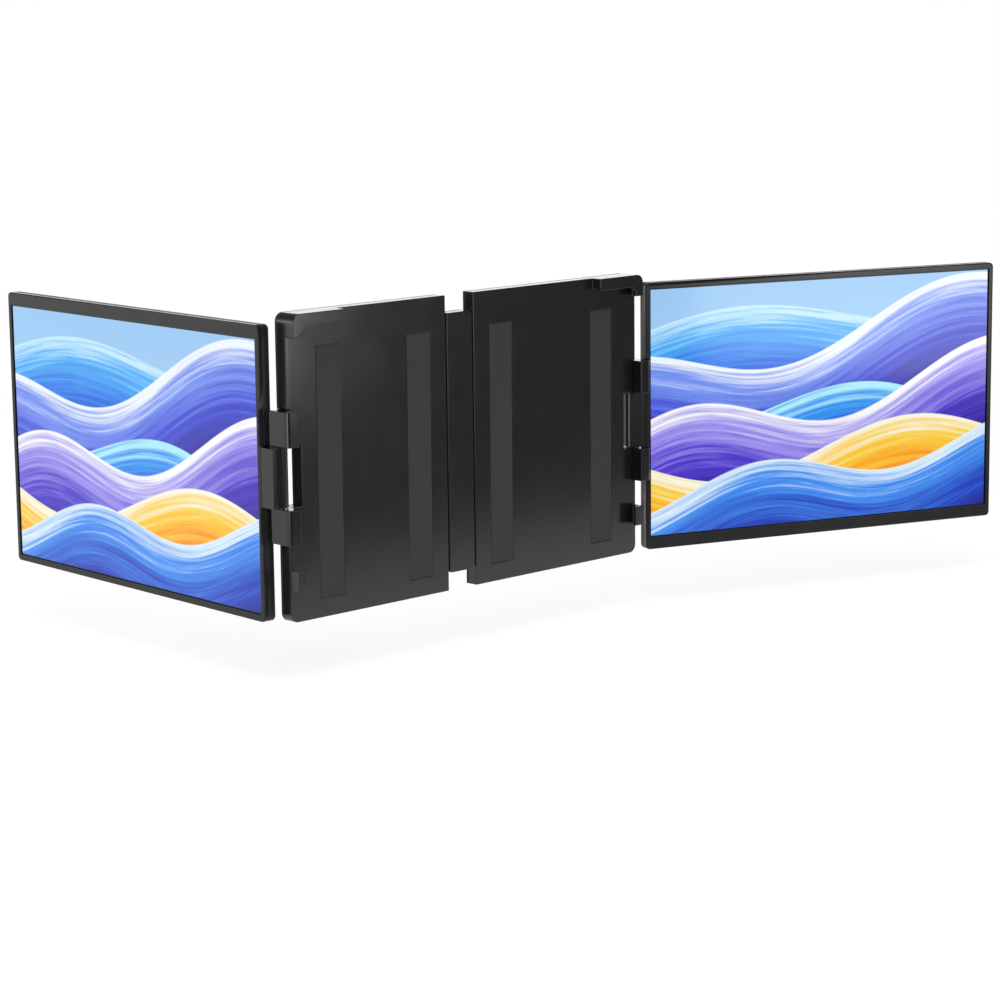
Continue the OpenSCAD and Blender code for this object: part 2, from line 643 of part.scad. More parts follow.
// The screen's half of the hinge: a barrel, a plate flush with the face, and
// an arm that is screwed inside the rear cover
module knuckle(dz) color("#2b2b2e") translate([-unit_gap, face_front, dz]) difference() {
    union() {
        cylinder(r = barrel_r, h = knuckle_h, center = true);
        block([-knuckle_reach, unit_gap - seam], [-face_front, -face_front + knuckle_plate],
            [-knuckle_h/2, knuckle_h/2]);
        block([-knuckle_reach + 2, unit_gap - seam],
            [-face_front + knuckle_plate - e, unit_t - face_front - 1.5], [-knuckle_h/2, knuckle_h/2]);
        block([unit_gap - seam - e, unit_gap + unit_wall + 0.2],
            [cover_y + 0.2 - face_front, cover_in - 0.1 - face_front], [-knuckle_h/2, knuckle_h/2]);
        block([unit_gap + unit_wall + seam, unit_gap + arm_len],
            [cover_in - 3 - face_front, cover_in - face_front], [-knuckle_h/2 + 1, knuckle_h/2 - 1]);
    }
    cylinder(r = pin_r + run, h = knuckle_h + 1, center = true);
    for (p = knuckle_screw_at(0))
        bar_y([unit_gap + p[0], p[1]], screw_r + screw_bite,
            span(cover_in - face_front, [-4, 1]));
}

module driver_board() color("#1f5a3a") {
    block([board_end - board_len, board_end], [cover_in - board_t, cover_in],
        [port_z[0] - 8, button_z[2] + 5]);
    for (c = chips) color("#222222")
        block(span(board_end - c[0], [0, c[1]]), [cover_in - board_t - 1, cover_in - board_t + e],
            [c[2], c[2] + c[3]]);
    for (z = button_z) color("#c9c9c9") {
        block(span(plunger_x, [-4.3, 0.1]), [port_y - 1.6, cover_in - board_t + e], [z - 2, z + 2]);
        translate([plunger_x, port_y, z]) rotate([0, 90, 0]) cylinder(r = 0.8, h = plunger_t);
    }
}

module ports() color("#a8aab0")
    for (k = [0:2]) {
        difference() {
            along_x([unit_w - 7.5, unit_w - 0.2], port_y, port_z[k]) port_profile(port_w[k], port_t);
            along_x([unit_w - 6.7, unit_w], port_y, port_z[k]) port_profile(port_w[k] - 0.7, port_t - 0.7);
        }
        block([unit_w - 6.8, unit_w - 1.2], span(port_y, [-0.35, 0.35]),
            span(port_z[k], [-port_w[k]/2 + 1.4, port_w[k]/2 - 1.4]));
    }

module speakers() color("#303134")
    for (x = speaker_x)
        block([x, x + speaker_len], [tray_y + 0.2, cover_in],
            span(-unit_h/2, [unit_wall + 0.2, unit_wall + 12]));

module screen_screws(dz) color("#55565a")
    for (p = concat(screen_screw_at(), knuckle_screw_at(dz))) screw_y(p, [unit_t - 3.6, unit_t]);

module button(k) color("#2a2a2d") translate([button_base, port_y, button_z[k]]) rotate([0, 90, 0]) {
    cylinder(r = flange_r, h = flange_t);
    translate([0, 0, flange_t - 0.1]) cylinder(r = button_r, h = unit_wall + button_travel + 0.4);
}

dz_right = hinge_z - unit_z;
dz_left = unit_z - hinge_z;

// ---- nodes --------------------------------------------------------------------------

spine_front();
spine_back();
guide_rails();
pinion_axle();
sync_pinion();
spine_screws();
leg_pin();
folding_leg();
leg_foot();
left_half() front_shell(left_len);  // left_front_shell
left_half() back_shell(left_len);  // left_back_shell
left_half() hinge_bracket(left_len);  // left_hinge_bracket
left_half() hinge_pin(left_len);  // left_hinge_pin
left_half() hinge_washers(left_len);  // left_hinge_washers
left_half() rack(1);  // left_rack
left_half() glides();  // left_glides
left_half() frame_screws(left_len);  // left_frame_screws
left_half() lid_pads(left_len);  // left_lid_pads
right_half() front_shell(right_len);  // right_front_shell
right_half() back_shell(right_len);  // right_back_shell
right_half() hinge_bracket(right_len);  // right_hinge_bracket
right_half() hinge_pin(right_len);  // right_hinge_pin
right_half() hinge_washers(right_len);  // right_hinge_washers
right_half() rack(-1);  // right_rack
right_half() glides();  // right_glides
right_half() frame_screws(right_len);  // right_frame_screws
right_half() lid_pads(right_len);  // right_lid_pads
left_screen() bezel(dz_left);  // left_bezel
left_screen() display();  // left_display
left_screen() backlight();  // left_backlight
left_screen() rear_cover(dz_left);  // left_rear_cover
left_screen() knuckle(dz_left);  // left_knuckle
left_screen() driver_board();  // left_driver_board
left_screen() ports();  // left_ports
left_screen() speakers();  // left_speakers
left_screen() screen_screws(dz_left);  // left_screen_screws
left_screen() button(2);  // left_power_button
left_screen() button(1);  // left_plus_button
left_screen() button(0);  // left_minus_button
right_screen() bezel(dz_right);  // right_bezel
right_screen() display();  // right_display
right_screen() backlight();  // right_backlight
right_screen() rear_cover(dz_right);  // right_rear_cover
right_screen() knuckle(dz_right);  // right_knuckle
right_screen() driver_board();  // right_driver_board
right_screen() ports();  // right_ports
right_screen() speakers();  // right_speakers
right_screen() screen_screws(dz_right);  // right_screen_screws
right_screen() button(2);  // right_power_button
right_screen() button(1);  // right_plus_button
right_screen() button(0);  // right_minus_button
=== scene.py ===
# %% [markdown]
# A laptop screen extender is a spreading frame with a slim portable screen
# hinged to each side.  This lesson dresses its construction model: every part
# keeps its place, and gets the rounded edges, grain and gloss that a moulded or
# cast part has.  All lengths are in metres.  X runs to the right, Y away from
# the user and Z up; the origin is the middle of the spine's front face.

# %% Load the construction model
import json

import bmesh
import bpy
import numpy as np
from mathutils import Matrix, Vector


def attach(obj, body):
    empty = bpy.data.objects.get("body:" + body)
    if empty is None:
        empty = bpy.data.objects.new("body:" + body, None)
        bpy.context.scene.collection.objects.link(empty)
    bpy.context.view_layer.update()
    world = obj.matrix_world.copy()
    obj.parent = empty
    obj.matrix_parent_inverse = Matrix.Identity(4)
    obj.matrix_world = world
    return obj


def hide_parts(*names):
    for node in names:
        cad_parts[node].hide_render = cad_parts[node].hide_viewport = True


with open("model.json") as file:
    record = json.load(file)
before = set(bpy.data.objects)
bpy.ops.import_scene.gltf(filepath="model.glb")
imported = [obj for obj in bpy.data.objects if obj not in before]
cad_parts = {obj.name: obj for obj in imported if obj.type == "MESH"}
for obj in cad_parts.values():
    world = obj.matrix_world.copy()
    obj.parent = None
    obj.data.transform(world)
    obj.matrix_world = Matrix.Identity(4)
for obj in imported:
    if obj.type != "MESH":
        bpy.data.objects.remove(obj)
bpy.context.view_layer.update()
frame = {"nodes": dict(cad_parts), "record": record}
MM = 0.001

# %% [markdown]
# The photograph was taken from the left, a little above the screens, with a
# long lens.  The camera's place came from fitting the corners of the frame and
# of both screens, so it is written as an azimuth, an elevation, a slight roll
# and a position, and the camera's axes follow from these.

# %% The camera
VIEW_AZIMUTH = np.radians(-44.549)
VIEW_ELEVATION = np.radians(10.097)
VIEW_ROLL = np.radians(-0.651)
CAMERA_PLACE = Vector((-1.29477, -1.35029, 0.29509))
LENS_MM, SENSOR_MM = 106.277, 36.0


def camera_axes(azimuth, elevation, roll):
    """Right, up and back as columns: back points from the object to the camera."""
    ca, sa = np.cos(azimuth), np.sin(azimuth)
    ce, se = np.cos(elevation), np.sin(elevation)
    back = np.array([sa * ce, -ca * ce, se])
    right = np.array([ca, sa, 0.0])
    up = np.cross(back, right)
    cr, sr = np.cos(roll), np.sin(roll)
    return np.column_stack([cr * right + sr * up, -sr * right + cr * up, back])


lens = bpy.data.cameras.new("camera")
lens.lens, lens.sensor_width = LENS_MM, SENSOR_MM
lens.clip_start, lens.clip_end = 0.05, 20.0
camera = bpy.data.objects.new("camera", lens)
bpy.context.collection.objects.link(camera)
axes = Matrix(camera_axes(VIEW_AZIMUTH, VIEW_ELEVATION, VIEW_ROLL).tolist())
camera.matrix_world = Matrix.Translation(CAMERA_PLACE) @ axes.to_4x4()
bpy.context.scene.camera = camera
print("camera at", tuple(round(c, 3) for c in CAMERA_PLACE))

# %% [markdown]
# A material is a small tree of nodes.  Colours are easier to pick and to
# compare as the hex values that a paint program shows, which are sRGB; a shader
# wants linear light, so one function turns them.  Another adds a node together
# with its settings and its links, and everything below is built from these two.
# Most finishes vary a little over the part, and noise of a stated size in metres
# says where: it drives the colour, the gloss and the relief.


# %% Colours and nodes
def hex_colour(code):
    """sRGB hex to linear RGBA: c/12.92 when dark, ((c + 0.055)/1.055)**2.4 above."""
    rgb = np.array([int(code[i:i + 2], 16) for i in (1, 3, 5)]) / 255
    linear = np.where(rgb <= 0.04045, rgb / 12.92, ((rgb + 0.055) / 1.055) ** 2.4)
    return (*linear.tolist(), 1.0)


def add(tree, kind, inputs=None, **settings):
    """Add one shader node; inputs holds values, sockets, or nodes to link from."""
    made = tree.nodes.new("ShaderNode" + kind)
    for name, value in settings.items():
        setattr(made, name, value)
    for name, value in (inputs or {}).items():
        if isinstance(value, bpy.types.Node):
            value = value.outputs[0]
        if isinstance(value, bpy.types.NodeSocket):
            tree.links.new(value, made.inputs[name])
        else:
            made.inputs[name].default_value = value
    return made


# A Mix node has a set of sockets for each kind of data; these are the colours'
UNDER, OVER, MIXED = 6, 7, 2


def new_material(name):
    """An empty node material and its tree."""
    material = bpy.data.materials.new(name)
    material.use_nodes = True
    material.node_tree.nodes.clear()
    return material, material.node_tree


def grain(tree, size, detail=2.0, stretch=(1, 1, 1)):
    """Noise whose blobs are about size metres across, drawn out by stretch."""
    place = add(tree, "TexCoord").outputs["Object"]
    drawn = add(tree, "Mapping", {"Vector": place, "Scale": stretch})
    return add(tree, "TexNoise", {"Vector": drawn, "Scale": 1 / size, "Detail": detail})


# %% [markdown]
# The shells are ABS, injection moulded in a spark-eroded tool.  That leaves a
# satin face: black, with a very fine pebble, and slightly uneven in gloss where
# the resin flowed.  The pebble is 0.12 mm on the real part, too fine to show
# here, so it is drawn at 0.5 mm.


# %% Moulded ABS, satin black
FLOW = 22 * MM            # size of the patches in which the gloss changes


def moulded_abs(name, dark, light, gloss, pebble=0.5 * MM, shine=0.4):
    material, tree = new_material(name)
    flow = grain(tree, FLOW, 3.0)
    tones = {0: flow, UNDER: hex_colour(dark), OVER: hex_colour(light)}
    colour = add(tree, "Mix", tones, data_type="RGBA").outputs[MIXED]
    sheen = add(tree, "MapRange", {
        "Value": flow, "To Min": gloss - 0.05, "To Max": gloss + 0.05})
    fine = grain(tree, pebble, 1.0)
    relief = add(tree, "Bump", {"Height": fine, "Distance": 0.01 * MM, "Strength": 0.5})
    shader = add(tree, "BsdfPrincipled", {
        "Base Color": colour, "Roughness": sheen, "Normal": relief,
        "Specular IOR Level": shine, "IOR": 1.53})
    add(tree, "OutputMaterial", {"Surface": shader})
    return material


satin_abs = moulded_abs("satin moulded ABS", "#121214", "#18181a", 0.18, shine=0.5)
bezel_abs = moulded_abs("fine satin moulded ABS", "#0f0f10", "#161618", 0.25, 0.35 * MM, 0.3)
cover_abs = moulded_abs("spark grained ABS", "#121213", "#19191b", 0.44, 0.8 * MM)
button_abs = moulded_abs("polished ABS", "#17171a", "#202024", 0.2)
print("plastics:", satin_abs.name, bezel_abs.name, cover_abs.name, button_abs.name)

# %% [markdown]
# Lugs, knuckles and the leg are zinc die castings with a powder coat.  Powder
# melts into a skin with a slight orange peel, about 1.5 mm across, which breaks
# up the reflections; it is about as glossy as the shells.


# %% Powder coat over die-cast zinc
PEEL, FADED = 1.5 * MM, 14 * MM       # sizes of the orange peel and of faded patches


def powder_coat(name, dark, light):
    material, tree = new_material(name)
    tones = {0: grain(tree, FADED), UNDER: hex_colour(dark), OVER: hex_colour(light)}
    colour = add(tree, "Mix", tones, data_type="RGBA").outputs[MIXED]
    peel = grain(tree, PEEL, 1.0)
    sheen = add(tree, "MapRange", {"Value": peel, "To Min": 0.15, "To Max": 0.2})
    relief = add(tree, "Bump", {"Height": peel, "Distance": 0.02 * MM, "Strength": 0.4})
    shader = add(tree, "BsdfPrincipled", {
        "Base Color": colour, "Roughness": sheen, "Normal": relief,
        "Specular IOR Level": 0.55, "IOR": 1.5})
    add(tree, "OutputMaterial", {"Surface": shader})
    return material


coated_zinc = powder_coat("powder coated zinc", "#0c0c0d", "#131315")
print("coat:", coated_zinc.name)

# %% [markdown]
# Bare metals.  A drawn rail and a pressed tray show fine lines along the way the
# tool ran, so their noise is drawn out along X or Z.  The small turned, blackened
# and plated parts are evenly fine.


# %% Drawn and turned metal
TOOL_LINES = 0.6 * MM     # distance between the marks of a tool


def drawn_metal(name, dark, light, gloss, stretch):
    material, tree = new_material(name)
    lines = grain(tree, TOOL_LINES, 2.0, stretch)
    tones = {0: lines, UNDER: hex_colour(dark), OVER: hex_colour(light)}
    colour = add(tree, "Mix", tones, data_type="RGBA").outputs[MIXED]
    sheen = add(tree, "MapRange", {
        "Value": lines, "To Min": gloss - 0.06, "To Max": gloss + 0.08})
    relief = add(tree, "Bump", {"Height": lines, "Distance": 0.01 * MM, "Strength": 0.4})
    shader = add(tree, "BsdfPrincipled", {
        "Base Color": colour, "Roughness": sheen, "Normal": relief, "Metallic": 1.0})
    add(tree, "OutputMaterial", {"Surface": shader})
    return material


ALONG_X, ALONG_Z, ROUND = (0.03, 1, 1), (1, 1, 0.03), (1, 1, 1)
turned_steel = drawn_metal("turned steel", "#8e9094", "#b4b6ba", 0.26, ROUND)
anodised = drawn_metal("drawn aluminium, anodised", "#9b9da3", "#b9bbc0", 0.32, ALONG_X)
blackened = drawn_metal("blackened steel", "#232326", "#3b3b40", 0.32, ROUND)
pressed_tray = drawn_metal("pressed aluminium", "#a3a6ab", "#c3c5ca", 0.4, ALONG_Z)
nickel = drawn_metal("nickel plated steel", "#7d7f84", "#a9abb0", 0.24, ROUND)
print("metals:", turned_steel.name, anodised.name, nickel.name)

# %% [markdown]
# Acetal resin is waxy, with a little light inside it: natural white for the
# gears and glides, black for the friction washers.  Foam and rubber are matt,
# with pores or a fine cloth mark from the mould.


# %% Acetal, foam and rubber
CLOUDS, DUSTY = 6 * MM, 9 * MM        # sizes of cloudy and of dusty patches


def waxy_resin(name, dark, light):
    material, tree = new_material(name)
    cloud = grain(tree, CLOUDS)
    tones = {0: cloud, UNDER: hex_colour(dark), OVER: hex_colour(light)}
    colour = add(tree, "Mix", tones, data_type="RGBA").outputs[MIXED]
    sheen = add(tree, "MapRange", {"Value": cloud, "To Min": 0.36, "To Max": 0.46})
    relief = add(tree, "Bump", {"Height": cloud, "Distance": 0.02 * MM, "Strength": 0.4})
    shader = add(tree, "BsdfPrincipled", {
        "Base Color": colour, "Roughness": sheen, "Normal": relief,
        "Subsurface Weight": 0.15, "Subsurface Scale": 1.5 * MM})
    add(tree, "OutputMaterial", {"Surface": shader})
    return material


def matt_rubber(name, dark, light, pore, depth):
    material, tree = new_material(name)
    place = add(tree, "TexCoord").outputs["Object"]
    cells = add(tree, "TexVoronoi", {"Vector": place, "Scale": 1 / pore})
    relief = add(tree, "Bump", {"Height": cells, "Distance": depth, "Strength": 0.8})
    patch = grain(tree, DUSTY)
    tones = {0: patch, UNDER: hex_colour(dark), OVER: hex_colour(light)}
    colour = add(tree, "Mix", tones, data_type="RGBA").outputs[MIXED]
    sheen = add(tree, "MapRange", {"Value": patch, "To Min": 0.72, "To Max": 0.88})
    shader = add(tree, "BsdfPrincipled", {
        "Base Color": colour, "Roughness": sheen, "Normal": relief, "Sheen Weight": 0.05})
    add(tree, "OutputMaterial", {"Surface": shader})
    return material


acetal = waxy_resin("natural acetal", "#d6d2c5", "#e6e3d8")
black_acetal = waxy_resin("black acetal", "#151516", "#1f1f21")
foam_pad = matt_rubber("dense foam rubber", "#1d1d1f", "#29292c", 0.9 * MM, 0.12 * MM)
foot_rubber = matt_rubber("moulded rubber", "#111112", "#1a1a1b", 0.6 * MM, 0.05 * MM)
print("soft:", acetal.name, foam_pad.name, foot_rubber.name)


# %% [markdown]
# The circuit board: green solder mask over glass cloth, with copper tracks that
# show as slightly lighter lines.  A brick pattern gives runs of tracks with
# pads between them.


# %% Solder mask
TRACK_RUN = 3 * MM        # length of a run of tracks
SOLDER = 2 * MM           # size of the patches in the mask's gloss


def solder_mask(name):
    material, tree = new_material(name)
    place = add(tree, "TexCoord").outputs["Object"]
    tracks = add(tree, "TexBrick", {
        "Vector": place, "Scale": 1 / TRACK_RUN, "Mortar Size": 0.06,
        "Color1": hex_colour("#16442b"), "Color2": hex_colour("#1a4d31"),
        "Mortar": hex_colour("#2f7a50")})
    raised = add(tree, "Bump", {
        "Height": tracks.outputs["Fac"], "Distance": 0.02 * MM, "Strength": 0.5})
    patch = grain(tree, SOLDER)
    sheen = add(tree, "MapRange", {"Value": patch, "To Min": 0.3, "To Max": 0.4})
    shader = add(tree, "BsdfPrincipled", {
        "Base Color": tracks, "Roughness": sheen, "Normal": raised})
    add(tree, "OutputMaterial", {"Surface": shader})
    return material


mask_green = solder_mask("green solder mask")
print("board:", mask_green.name)

# %% [markdown]
# Where each screen stands.  Both are the same product, and the left one is
# turned over, so one set of lengths serves both: across from the inner side,
# back from the face, and up from the middle.  The hinge joint of the record
# gives the place of its axis.

# %% Screen places
RECORD = frame["record"]
JOINTS = {joint["name"]: joint for joint in RECORD["behaviour"]["joints"]}
SCREEN_W, SCREEN_H = 279.2 * MM, 183.4 * MM
# from the hinge's axis across to the inner side, forward to the face, up to the middle
UNIT_GAP, FACE_FRONT, UNIT_RISE = 6.0 * MM, 7.5 * MM, 1.3 * MM
LIT_SIDE, LIT_THIN, LIT_WIDE = 4.4 * MM, 4.9 * MM, 9.1 * MM     # rim to lit picture
LIT_TALL = SCREEN_H - LIT_THIN - LIT_WIDE
LIT_RATIO = (SCREEN_W - 2 * LIT_SIDE) / LIT_TALL
SWING = {"left": np.radians(-93.2), "right": np.radians(20.2)}   # forward of the frame


def screen_place(side):
    """The 4x4 matrix that carries a screen's own lengths to the model's frame."""
    axis = Matrix.Translation(Vector(JOINTS[side + "_screen_swing"]["pos_m"]))
    sign = -1 if side == "left" else 1
    turn = Matrix.Rotation(-sign * SWING[side], 4, "Z")
    shift = Matrix.Translation(Vector((sign * UNIT_GAP, -FACE_FRONT, UNIT_RISE)))
    over = Matrix.Rotation(np.pi if side == "left" else 0, 4, "Y")
    return axis @ turn @ shift @ over


for side in ("left", "right"):
    corner = screen_place(side) @ Vector((SCREEN_W, 0, SCREEN_H / 2))
    print(side, "screen's outer corner:", tuple(round(c, 4) for c in corner))

# %% [markdown]
# The picture is lit from behind, so its colours are emission, under a glossy
# cover glass that still mirrors the room a little.  It is a made-up one: a pale
# sky over long silk-like waves in blue, cyan and violet, with a warm crest.  A
# wave is everything below a sine curve; fine threads follow each curve, as the
# noise is drawn out along it, and its colours run from crest to foot.


# %% One wave of the picture
# rise, tilt, height, turn and phase of each wave, and its colours from the crest down
WAVES = [
    (0.81, 0.06, 0.08, 3.1, 0.4, ("#c9efff", "#52b4fb", "#2272ea", "#1449ae")),
    (0.66, 0.16, 0.10, 3.9, 2.3, ("#f4fbff", "#7d9af6", "#4450d8", "#2c2390")),
    (0.55, -0.10, 0.12, 3.3, 4.4, ("#b4f2ff", "#3b9cf7", "#1c58dc", "#153096")),
    (0.40, 0.14, 0.10, 4.3, 0.9, ("#ffffff", "#a79cf5", "#523ccf", "#231a78")),
    (0.29, 0.02, 0.10, 3.7, 3.3, ("#fffbe6", "#ffd445", "#ff8d10", "#b62e0a")),
    (0.15, 0.10, 0.07, 4.9, 5.4, ("#e2f6ff", "#4a95f7", "#2847c2", "#21186e")),
]
SHADE_STOPS = (0.0, 0.22, 0.55, 1.0)      # where each colour stands from crest to foot
SHADE_DEPTH = 0.42                        # how far below a crest its last colour lies
THREADS = 34.0                            # noise cells down the picture, for one along it
STRAY = 0.9                               # how far threads stray, of crest to foot


def below_crest(tree, across, up, rise, tilt, height, turn, phase):
    """Depth below the crest: rise + tilt*across + height*sin(turn*across + phase) - up."""
    angle = add(tree, "Math", {0: across, 1: turn, 2: phase}, operation="MULTIPLY_ADD")
    wave = add(tree, "Math", {0: angle}, operation="SINE")
    slope = add(tree, "Math", {0: across, 1: tilt, 2: rise}, operation="MULTIPLY_ADD")
    crest = add(tree, "Math", {0: wave, 1: height, 2: slope}, operation="MULTIPLY_ADD")
    return add(tree, "Math", {0: crest, 1: up}, operation="SUBTRACT")


def silk_colour(tree, across, depth, layer, shades):
    """Colour from crest to foot, strayed by noise that is long across and fine in depth."""
    drawn = add(tree, "Math", {0: depth, 1: THREADS}, operation="MULTIPLY")
    along = add(tree, "CombineXYZ", {0: across, 1: drawn, 2: float(layer)})
    silk = add(tree, "TexNoise", {
        "Vector": along, "Scale": 1.5, "Detail": 6.0, "Roughness": 0.62})
    drift = {0: silk, 1: STRAY, 2: -STRAY / 2}
    wander = add(tree, "Math", drift, operation="MULTIPLY_ADD")
    fall = {0: depth, 1: 1 / SHADE_DEPTH, 2: wander}
    ramp = add(tree, "ValToRGB", {"Fac": add(tree, "Math", fall, operation="MULTIPLY_ADD")})
    stops = ramp.color_ramp.elements
    for stop in SHADE_STOPS[1:-1]:
        stops.new(stop)
    for stop, shade in zip(stops, shades):
        stop.color = hex_colour(shade)
    return ramp.outputs["Color"]


print("waves:", len(WAVES))

# %% [markdown]
# The waves lie one over the other from the farthest down to the nearest.  Across
# and up are measured in heights of the picture, and everything outside it is the
# black border that the glass covers.

# %% The lit picture
CREST_EDGE = 0.006        # width over which a crest sets in
GLOW = 0.95               # emission of the whole picture


def lit_picture(name):
    material, tree = new_material(name)
    parts = add(tree, "SeparateXYZ", {0: add(tree, "UVMap", uv_map="picture")}).outputs
    across, up = parts[0], parts[1]
    sky = {0: up, UNDER: hex_colour("#b9dcfa"), OVER: hex_colour("#9ccbf6")}
    colour = add(tree, "Mix", sky, data_type="RGBA").outputs[MIXED]
    for layer, (*curve, shades) in enumerate(WAVES):
        depth = below_crest(tree, across, up, *curve)
        silk = silk_colour(tree, across, depth, layer, shades)
        edge = add(tree, "MapRange", {"Value": depth, "From Max": CREST_EDGE},
                   interpolation_type="SMOOTHSTEP")
        colour = add(tree, "Mix", {0: edge, UNDER: colour, OVER: silk},
                     data_type="RGBA").outputs[MIXED]
    lit = 1.0
    for place, half in ((across, LIT_RATIO / 2), (up, 0.5)):
        off = add(tree, "Math", {0: place, 1: half}, operation="SUBTRACT")
        off = add(tree, "Math", {0: off}, operation="ABSOLUTE")
        within = add(tree, "Math", {0: off, 1: half}, operation="LESS_THAN")
        lit = add(tree, "Math", {0: within, 1: lit}, operation="MULTIPLY")
    shown = add(tree, "Mix", {0: lit, UNDER: (0, 0, 0, 1), OVER: colour}, data_type="RGBA")
    shader = add(tree, "BsdfPrincipled", {
        "Base Color": hex_colour("#020203"), "Roughness": 0.1, "IOR": 1.5,
        "Specular IOR Level": 0.3, "Emission Color": shown.outputs[MIXED],
        "Emission Strength": GLOW})
    add(tree, "OutputMaterial", {"Surface": shader})
    return material


picture = lit_picture("lit picture under glass")
print("picture:", picture.name)

# %% [markdown]
# Surfaces.  A slab with a soft rim is a profile carried round a path: the path is
# a rectangle with round corners, and the profile says how far in from it and how
# far back each ring lies.  A ring further in keeps its corners' centres, so its
# radius shrinks with it.

# %% Surfaces from arrays
CORNER_STEPS = 10


def round_rectangle(width, height, radius, steps=CORNER_STEPS):
    """Points and outward directions round a rectangle, corner by corner.

    Each corner is an arc about a centre that lies radius in from both sides.
    """
    turn = np.radians(np.linspace(0, 90, steps))
    quarter = np.column_stack([np.cos(turn), np.sin(turn)])
    points, outward = [], []
    for k in range(4):
        c, s = np.cos(k * np.pi / 2), np.sin(k * np.pi / 2)
        way = quarter @ np.array([[c, s], [-s, c]])
        sign = np.sign(way.mean(axis=0))
        centre = sign * np.array([width / 2 - radius, height / 2 - radius])
        points.append(np.tile(centre, (steps, 1)))
        outward.append(way)
    return np.vstack(points), np.vstack(outward)


def grid_mesh(name, rings):
    """A mesh from an array of rings, each the same closed loop of points."""
    count, around = rings.shape[:2]
    index = np.arange(count * around).reshape(count, around)
    after = np.roll(index, -1, axis=1)
    faces = np.stack([index[:-1], after[:-1], after[1:], index[1:]], axis=-1).reshape(-1, 4)
    mesh = bpy.data.meshes.new(name)
    mesh.from_pydata(rings.reshape(-1, 3).tolist(), [], faces.tolist())
    mesh.validate()
    return mesh


print("corner points:", len(round_rectangle(1, 1, 0.1)[0]))

# %% [markdown]
# A finished mesh takes the place of its construction node: it rides on the same
# body, so that it moves with it, and gets the finish it is given.

# %% Pieces in place of nodes
BODY_OF = {node: body for body, nodes in RECORD["behaviour"]["bodies"].items()
           for node in nodes}
SLOT_OF = {part["node"]: part["material_slot"] for part in RECORD["subparts"]}


def new_piece(node, mesh, material, name):
    """Put a finished mesh in the scene in place of a node, on the same body."""
    piece = bpy.data.objects.new(name, mesh)
    bpy.context.collection.objects.link(piece)
    mesh.materials.clear()
    mesh.materials.append(material)
    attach(piece, BODY_OF[node])
    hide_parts(node)
    return piece


print("bodies:", len(set(BODY_OF.values())))

# %% [markdown]
# Moulded and cast parts have no sharp edges: every rim is broken by a small
# radius, which is what catches the light.  The construction solids have sharp
# ones.  So a copy of the solid is welded and cut into convex faces, and its long
# edges are rounded; the rims of holes, slots and sockets stay sharp.

# %% Long sharp edges
SHARP = np.radians(32)            # the angle from which an edge is rounded
SMALL_RIM = 28 * MM               # rims of holes, slots and sockets are smaller


def long_edges(mesh_copy):
    """Sharp edges, without those of closed rims smaller than SMALL_RIM."""
    sharp = [e for e in mesh_copy.edges
             if len(e.link_faces) == 2 and e.calc_face_angle(0.0) > SHARP]
    at = {}
    for e in sharp:
        for v in e.verts:
            at.setdefault(v.index, []).append(e)
    chosen, seen = [], set()
    for first in sharp:
        if first.index in seen:
            continue
        group, todo = [], [first]
        seen.add(first.index)
        while todo:
            e = todo.pop()
            group.append(e)
            for v in e.verts:
                for other in at[v.index]:
                    if other.index not in seen:
                        seen.add(other.index)
                        todo.append(other)
        ends = np.array([v.co[:] for e in group for v in e.verts])
        if np.ptp(ends, axis=0).max() > SMALL_RIM:
            chosen += group
    return chosen


print("rounded from", round(float(np.degrees(SHARP))), "degrees up")

# %% Rounded copies
WELD = 0.001 * MM
FLAT = 0.003                      # faces at a smaller angle than this become one


def rounded_copy(node, radius_of):
    """A welded copy of a CAD node whose long sharp edges are rounded.

    radius_of gives the radius of an edge, or 0 where it stays sharp.
    """
    work = bmesh.new()
    work.from_mesh(frame["nodes"][node].data)
    bmesh.ops.remove_doubles(work, verts=work.verts, dist=WELD)
    bmesh.ops.dissolve_limit(work, angle_limit=FLAT, verts=work.verts, edges=work.edges)
    bmesh.ops.connect_verts_concave(work, faces=work.faces)
    work.edges.index_update()
    work.verts.index_update()
    radii = work.edges.layers.float.new("radius")
    for edge in long_edges(work):
        edge[radii] = radius_of(edge)
    for radius in sorted({edge[radii] for edge in work.edges} - {0.0}, reverse=True):
        alike = [edge for edge in work.edges if edge[radii] == radius]
        bmesh.ops.bevel(work, geom=alike, offset=radius, offset_type="OFFSET", segments=3,
                        profile=0.5, affect="EDGES", clamp_overlap=False)
    work.edges.layers.float.remove(work.edges.layers.float["radius"])
    for face in work.faces:
        face.smooth = True
    mesh = bpy.data.meshes.new(node)
    work.to_mesh(mesh)
    work.free()
    return mesh


def soft_normals(piece):
    """Shade flat faces flat and let only the small radii turn the light."""
    weighted = piece.modifiers.new("weighted normals", "WEIGHTED_NORMAL")
    weighted.keep_sharp = True
    weighted.weight = 100


def round_off(node, radius_of, material):
    """Stand a rounded copy in for a CAD node."""
    mesh = rounded_copy(node, radius_of)
    piece = new_piece(node, mesh, material, node.replace("_", "-"))
    soft_normals(piece)
    print(piece.name, len(mesh.polygons), "faces")


print("weld:", WELD, "flat:", FLAT)

# %% [markdown]
# A bezel's face has a wider radius all round.  It is cut away at the lugs, where
# it keeps the usual radius; and where such a cut runs out to a sliver, the edges
# stay sharp, because a radius would overshoot it.

# %% Radii of the bezels
BEZEL_RIM = 0.9 * MM              # radius round a bezel's face
BEZEL_T = 3.0 * MM                # where the bezel meets the rear cover
FAR_FROM_LUGS = 4 * MM
CORNER_R = 3.1 * MM               # a corner's arc strays this far from the straight rim
CLOSE = 0.05 * MM


